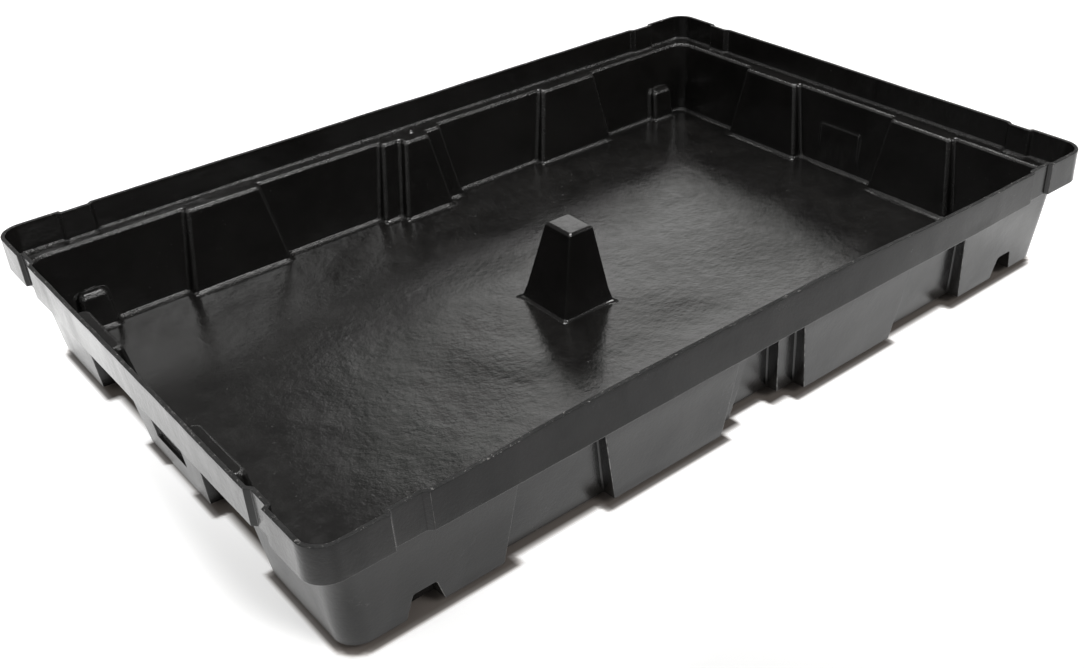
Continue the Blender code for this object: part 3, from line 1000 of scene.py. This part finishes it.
class Nodes:
    """A short way of writing a material's or world's nodes."""

    def __init__(self, tree):
        self.tree = tree
        tree.nodes.clear()

    def set(self, node, name, value):
        """Link a socket, or set a plain value on it."""
        socket = node.inputs[name]
        if isinstance(value, bpy.types.NodeSocket):
            self.tree.links.new(value, socket)
        else:
            socket.default_value = value

    def make(self, kind, inputs=None, **settings):
        node = self.tree.nodes.new(kind)
        for name, value in settings.items():
            setattr(node, name, value)
        for name, value in (inputs or {}).items():
            self.set(node, name, value)
        return node

    def math(self, operation, first, second=0.0, third=0.0):
        node = self.make("ShaderNodeMath", {0: first, 1: second, 2: third}, operation=operation)
        return node.outputs[0]

    def times(self, first, second):
        return self.math("MULTIPLY", first, second)

    def place(self):
        return self.make("ShaderNodeNewGeometry").outputs["Position"]

    def stored(self, name):
        """A value stored at the mesh's points."""
        return self.make("ShaderNodeAttribute", attribute_name=name).outputs["Fac"]

    def dot(self, vector, direction):
        node = self.make("ShaderNodeVectorMath", {0: vector, 1: direction}, operation="DOT_PRODUCT")
        return node.outputs["Value"]

    def stretch(self, vector, scale):
        node = self.make("ShaderNodeVectorMath", {0: vector, 1: scale}, operation="MULTIPLY")
        return node.outputs["Vector"]

    def ramp(self, value, low, high, start, end):
        """Map a value smoothly from start..end to low..high, held at both ends."""
        node = self.make("ShaderNodeMapRange", {
            "Value": value, "From Min": start, "From Max": end, "To Min": low, "To Max": high,
        }, interpolation_type="SMOOTHSTEP", clamp=True)
        return node.outputs["Result"]

    def noise(self, vector, size, detail=2.0, rough=0.5, warp=0.0):
        node = self.make("ShaderNodeTexNoise", {
            "Vector": vector, "Scale": 1 / size,
            "Detail": detail, "Roughness": rough, "Distortion": warp,
        })
        return node.outputs["Fac"]

    def cells(self, vector, size, feature="F1"):
        node = self.make("ShaderNodeTexVoronoi", {"Vector": vector, "Scale": 1 / size}, feature=feature)
        return node.outputs["Distance"]

    def blend(self, share, first, second):
        node = self.make("ShaderNodeMix", {0: share, 6: first, 7: second}, data_type="RGBA")
        return node.outputs[2]

    def bump(self, height, depth, before=None):
        node = self.make("ShaderNodeBump", {"Height": height, "Strength": 1.0, "Distance": depth})
        if before is not None:
            self.set(node, "Normal", before)
        return node.outputs["Normal"]


def new_material(name):
    material = bpy.data.materials.new(name)
    material.use_nodes = True
    return material, Nodes(material.node_tree)


def finish_material(nodes, colour, roughness, normal, ior):
    shader = nodes.make("ShaderNodeBsdfPrincipled", {
        "Base Color": colour, "Roughness": roughness, "Normal": normal, "IOR": ior,
    })
    nodes.make("ShaderNodeOutputMaterial", {"Surface": shader.outputs["BSDF"]})


def mould_plastic():
    """The satin mould side: fine grain, faint smears, dust, and edges made paler, partly rubbed and
    partly a painted highlight.
    """
    material, nodes = new_material("mould_side_plastic")
    place = nodes.place()
    edge = nodes.stored("wear_and_highlight")
    wear_and_highlight = nodes.ramp(edge, 0.0, 1.0, 0.70, 0.98)
    smear = nodes.noise(nodes.stretch(place, (1.0, 1.0, 0.35)), 0.060, 5.0, 0.6, 0.4)
    dust = nodes.ramp(nodes.noise(place, 0.0012, 2.0), 0.0, 0.5, 0.66, 0.78)
    scuff_area = nodes.ramp(nodes.noise(place, 0.045, 3.0, 0.6, 0.8), 0.0, 1.0, 0.58, 0.72)
    scratch = nodes.noise(nodes.stretch(place, (1.0, 1.0, 3.2)), 0.0040, 3.0, 0.7, 0.6)
    scuff = nodes.times(scuff_area, nodes.ramp(scratch, 0.0, 1.0, 0.56, 0.70))
    rub_and_highlight = nodes.ramp(nodes.noise(place, 0.009, 4.0, 0.7), RUB_AND_HIGHLIGHT_LEAST, RUB_AND_HIGHLIGHT_MOST, 0.40, 0.62)
    plain = nodes.blend(nodes.ramp(smear, 0.0, 1.0, 0.35, 0.68), *MOULD_GREYS)
    dusty = nodes.blend(dust, plain, DUST_GREY)
    scuffed = nodes.blend(nodes.times(scuff, SCUFF_COVER), dusty, SCUFF_GREY)
    # Paler convex edges: partly rubbing, partly a painted highlight along them.
    colour = nodes.blend(nodes.times(wear_and_highlight, rub_and_highlight), scuffed, RUBBED_AND_HIGHLIGHT_GREY)
    gloss = nodes.ramp(smear, *MOULD_ROUGHNESS, 0.3, 0.7)
    roughness = nodes.math("ADD", gloss, nodes.times(scuff, SCUFF_ROUGHNESS))
    grain = nodes.bump(nodes.noise(place, 0.0009, 3.0, 0.6), GRAIN_DEPTH)
    pitted = nodes.bump(nodes.noise(place, 0.0034, 2.0, 0.6), PIT_DEPTH, grain)
    normal = nodes.bump(nodes.noise(place, 0.030, 2.0), WAVINESS_DEPTH, pitted)
    finish_material(nodes, colour, roughness, normal, MOULD_IOR)
    return material


def inner_plastic():
    """The glossy inner side: orange peel over a soft waviness, coarser where the sheet bends, with pale
    flecks painted as the grain's glints.
    """
    material, nodes = new_material("inner_plastic")
    place = nodes.place()
    bend = nodes.stored("fold")
    fold = nodes.ramp(bend, 0.0, 1.0, 0.10, 0.85)
    patch = nodes.noise(place, 0.110, 4.0, 0.6, 0.5)
    cloud = nodes.noise(place, 0.018, 3.0, 0.6)
    speck = nodes.ramp(nodes.cells(place, 0.0085), 1.0, 0.0, 0.050, 0.120)
    speck_area = nodes.ramp(nodes.noise(place, 0.050, 2.0), 0.15, 1.0, 0.45, 0.62)
    specks = nodes.times(speck, speck_area)
    # Pale flecks: painted glints of the grain.
    fleck_glint = nodes.ramp(nodes.noise(place, 0.0030, 3.0, 0.7), 0.0, 1.0, 0.45, 0.75)
    glint_area = nodes.ramp(nodes.noise(place, 0.028, 3.0, 0.6), 0.1, 0.9, 0.42, 0.62)
    plain = nodes.blend(nodes.ramp(patch, 0.0, 1.0, 0.3, 0.7), *INNER_GREYS)
    dusty = nodes.blend(nodes.times(specks, SPECK_COVER), plain, SPECK_GREY)
    glint_flecked = nodes.blend(nodes.times(fleck_glint, glint_area), dusty, FLECK_GLINT_GREY)
    colour = nodes.blend(nodes.times(fold, FOLD_COVER), glint_flecked, FOLD_GREY)
    gloss = nodes.ramp(patch, *INNER_ROUGHNESS, 0.3, 0.7)
    clouded = nodes.math("ADD", gloss, nodes.ramp(cloud, 0.0, CLOUD_ROUGHNESS, 0.4, 0.65))
    roughness = nodes.math("ADD", clouded, nodes.times(fold, FOLD_ROUGHNESS))
    coarse = nodes.ramp(fold, *FOLD_COARSENESS, 0.0, 1.0)
    grain = nodes.times(nodes.noise(place, 0.0022, 2.0, 0.6), coarse)
    fine = nodes.bump(grain, FINE_DEPTH)
    peel = nodes.bump(nodes.noise(place, 0.0044, 2.0, 0.55, 0.5), PEEL_DEPTH, fine)
    creases = nodes.cells(nodes.stretch(place, (1.0, 1.2, 1.0)), 0.0098, "SMOOTH_F1")
    leather = nodes.bump(creases, LEATHER_DEPTH, peel)
    pimples = nodes.bump(specks, PIMPLE_DEPTH, leather)
    normal = nodes.bump(nodes.noise(place, 0.038, 2.0), SAG_DEPTH, pimples)
    finish_material(nodes, colour, roughness, normal, INNER_IOR)
    return material


def cut_plastic():
    """The sawn edge: torn and dull, with pale burrs."""
    material, nodes = new_material("trimmed_plastic")
    place = nodes.place()
    burr = nodes.noise(place, 0.0036, 4.0, 0.75, 0.6)
    area = nodes.noise(place, 0.060, 3.0, 0.6)
    plain = nodes.blend(nodes.ramp(area, 0.0, 1.0, 0.35, 0.65), *CUT_GREYS)
    colour = nodes.blend(nodes.ramp(burr, 0.0, 1.0, 0.58, 0.70), plain, BURR_GREY)
    roughness = nodes.ramp(burr, *CUT_ROUGHNESS, 0.3, 0.7)
    burrs = nodes.bump(burr, BURR_DEPTH)
    normal = nodes.bump(nodes.noise(place, 0.0040, 3.0, 0.7), TEAR_DEPTH, burrs)
    finish_material(nodes, colour, roughness, normal, MOULD_IOR)
    return material


def table_material():
    """White lit acrylic, faintly mottled, lit and painted brightest round the tray, with painted shade
    at its foot.
    """
    material, nodes = new_material("lit_table")
    place = nodes.place()
    shade = nodes.stored("foot_shade")
    axes = nodes.make("ShaderNodeSeparateXYZ", {"Vector": place}).outputs
    beyond = []
    for axis, half in (("X", HALF_LENGTH), ("Y", HALF_WIDTH)):
        distance = nodes.math("SUBTRACT", nodes.math("ABSOLUTE", axes[axis]), half)
        beyond.append(nodes.math("MAXIMUM", distance, 0.0))
    away = nodes.math("SQRT", nodes.math("ADD", *(nodes.times(d, d) for d in beyond)))
    level = nodes.ramp(nodes.noise(place, 0.40, 3.0), TABLE_MOTTLE, 1.0, 0.3, 0.7)
    clear = nodes.math("SUBTRACT", 1.0, shade)
    for direction, start, end, value in TABLE_FALLS:
        fall = nodes.ramp(nodes.dot(place, direction), 1.0, value, start, end)
        level = nodes.math("MINIMUM", level, fall)
    for direction, start, end, value in (GLOW_CORNER, GLOW_LEFT):
        change = nodes.ramp(nodes.dot(place, direction), 1.0, value, start, end)
        clear = nodes.times(clear, change)
    # The painted shade at the foot darkens the tone.
    dim = nodes.times(level, nodes.ramp(shade, 1.0, FOOT_SHADE_TONE, 0.0, 1.0))
    # Painted pool of light: the tone falls off with distance from the tray.
    tone = nodes.times(dim, nodes.ramp(away, *TABLE_POOL_TONES, *TABLE_CHANGE))
    green = nodes.times(tone, nodes.ramp(shade, 1.0, SHADE_GREEN, 0.0, 1.0))
    blue = nodes.times(tone, nodes.ramp(shade, 1.0, SHADE_BLUE, 0.0, 1.0))
    colour = nodes.make("ShaderNodeCombineColor", {"Red": tone, "Green": green, "Blue": blue})
    clear = nodes.times(level, clear)
    glow = nodes.times(clear, nodes.ramp(away, *TABLE_GLOWS, *TABLE_CHANGE))
    diffuse = nodes.make("ShaderNodeBsdfDiffuse", {"Color": colour.outputs["Color"]})
    light = nodes.make("ShaderNodeEmission", {"Color": (1.0, 1.0, 1.0, 1.0), "Strength": glow})
    both = nodes.make("ShaderNodeAddShader", {0: diffuse.outputs[0], 1: light.outputs[0]})
    nodes.make("ShaderNodeOutputMaterial", {"Surface": both.outputs["Shader"]})
    return material


def make_stop(side, material):
    """A small formed dome on the ledge, flaring softly into it."""
    along, sign = (STOP_SHIFT_BACK, 1) if side == "back" else (0.0, -1)
    centre = Vector((along, sign * (HALF_WIDTH - STOP_INSET), LEDGE_TOP))
    vertices = []
    for row in range(STOP_ROWS + 1):
        share = row / STOP_ROWS
        reach = max(STOP_RADIUS * (1 - share), STOP_TIP)
        height = STOP_HEIGHT * sin(pi / 2 * share) ** STOP_FLARE
        for k in range(STOP_COUNT):
            angle = 2 * pi * k / STOP_COUNT
            vertices.append(centre + Vector((reach * cos(angle), reach * sin(angle), height)))
    faces = [tuple(reversed(range(STOP_COUNT)))]
    for row in range(STOP_ROWS):
        faces.extend(strip(row * STOP_COUNT, (row + 1) * STOP_COUNT, STOP_COUNT, True))
    faces.append(tuple(STOP_ROWS * STOP_COUNT + k for k in range(STOP_COUNT)))
    name = f"grid_stop_{side}"
    mesh = bpy.data.meshes.new(name + "_skin")
    mesh.from_pydata(vertices, [], faces)
    mesh.polygons.foreach_set("use_smooth", [True] * len(faces))
    mesh.materials.append(material)
    item = add_object(name + "_skin", mesh)
    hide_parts(name)
    return item


def make_table():
    """The table top: a grid round the tray carries the shade at its foot, then it runs far out."""
    half = np.array((HALF_LENGTH, HALF_WIDTH, 1.0))
    foot = mould_ring("wall", MID_HEIGHT) * (1 - FOOT_SINK / half)
    tree = KDTree(3 * len(foot))
    for share in (0.0, 1 / 3, 2 / 3):
        for x, y, _ in foot + share * (np.roll(foot, -1, axis=0) - foot):
            tree.insert((x, y, 0.0), 0)
    tree.balance()
    columns = np.arange(-HALF_LENGTH, HALF_LENGTH + TABLE_SPACING, TABLE_SPACING)
    rows = np.arange(-HALF_WIDTH, HALF_WIDTH + TABLE_SPACING, TABLE_SPACING)
    points = np.array([(x, y, 0.0) for y in rows for x in columns])
    distance = np.array([tree.find(point)[2] for point in points])
    distance[inside_outline(points, foot)] *= -1
    shades = 1 - smooth_share(distance, *FOOT_SHADE)
    faces = []
    for row in range(len(rows) - 1):
        start = row * len(columns)
        faces.extend(strip(start + len(columns), start, len(columns), False))
    last = len(points) - 1
    corners = (0, len(columns) - 1, last, last - len(columns) + 1)
    for k, corner in enumerate(corners):
        following = (k + 1) % 4
        faces.append((last + 1 + k, last + 1 + following, corners[following], corner))
    points = np.concatenate([points, points[list(corners)] * TABLE_REACH])
    mesh = bpy.data.meshes.new("studio_floor")
    mesh.from_pydata(points.tolist(), [], faces)
    mesh.attributes.new("foot_shade", "FLOAT", "POINT").data.foreach_set(
        "value", np.concatenate([shades, np.zeros(4)]))
    mesh.materials.append(table_material())
    item = add_object("studio_floor", mesh)
    item.location.z = -TABLE_DROP


def towards(azimuth, elevation):
    """A direction: azimuth in degrees from +Y towards +X, elevation above the floor."""
    turn, rise = radians(azimuth), radians(elevation)
    return Vector((sin(turn) * cos(rise), cos(turn) * cos(rise), sin(rise)))


def softbox(nodes, view, azimuth, elevation, half_width, half_height, roll, edge, strength):
    """A rectangle of light with soft edges, far away in one direction; sizes in degrees."""
    ahead = towards(azimuth, elevation)
    level = towards(azimuth + 90, 0)
    upright = level.cross(ahead)
    turn = radians(roll)
    aside = level * cos(turn) - upright * sin(turn)
    upward = level * sin(turn) + upright * cos(turn)
    depth = nodes.dot(view, ahead)
    share = nodes.ramp(depth, 0.0, 1.0, *SOFTBOX_SIGHT)
    deep = nodes.math("MAXIMUM", depth, SOFTBOX_SIGHT[0])
    for axis, half in ((aside, half_width), (upward, half_height)):
        across = nodes.math("ABSOLUTE", nodes.math("DIVIDE", nodes.dot(view, axis), deep))
        inner, outer = tan(radians(half - edge)), tan(radians(half + edge))
        share = nodes.times(share, nodes.ramp(across, 1.0, 0.0, inner, outer))
    return nodes.times(share, strength)


def make_lights():
    """A dim studio with soft boxes of light set into it."""
    world = bpy.data.worlds.new("studio")
    bpy.context.scene.world = world
    world.use_nodes = True
    nodes = Nodes(world.node_tree)
    view = nodes.make("ShaderNodeTexCoord").outputs["Generated"]
    total = ROOM_LIGHT
    for box in SOFTBOXES:
        total = nodes.math("ADD", softbox(nodes, view, *box), total)
    background = nodes.make("ShaderNodeBackground", {"Color": ROOM_COLOUR, "Strength": total})
    nodes.make("ShaderNodeOutputWorld", {"Surface": background.outputs["Background"]})


def make_camera():
    data = bpy.data.cameras.new("camera")
    data.sensor_width = CAMERA_SENSOR
    data.lens = CAMERA_LENS
    data.shift_x, data.shift_y = CAMERA_SHIFT
    data.clip_start = CAMERA_CLIP
    item = add_object("camera", data)
    up = CAMERA_RIGHT.cross(CAMERA_FORWARD)
    matrix = Matrix((CAMERA_RIGHT, up, -CAMERA_FORWARD)).transposed().to_4x4()
    matrix.translation = CAMERA_PLACE
    item.matrix_world = matrix
    bpy.context.scene.camera = item


def main():
    materials = {"mould": mould_plastic(), "cut": cut_plastic(), "inner": inner_plastic()}
    pieces = build_tray(materials)
    for side in ("front", "back"):
        pieces[f"grid_stop_{side}"] = make_stop(side, materials["inner"])
    for item in pieces.values():
        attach(item, "root")
    make_table()
    make_lights()
    make_camera()
    bpy.context.scene.view_settings.view_transform = "Standard"


main()
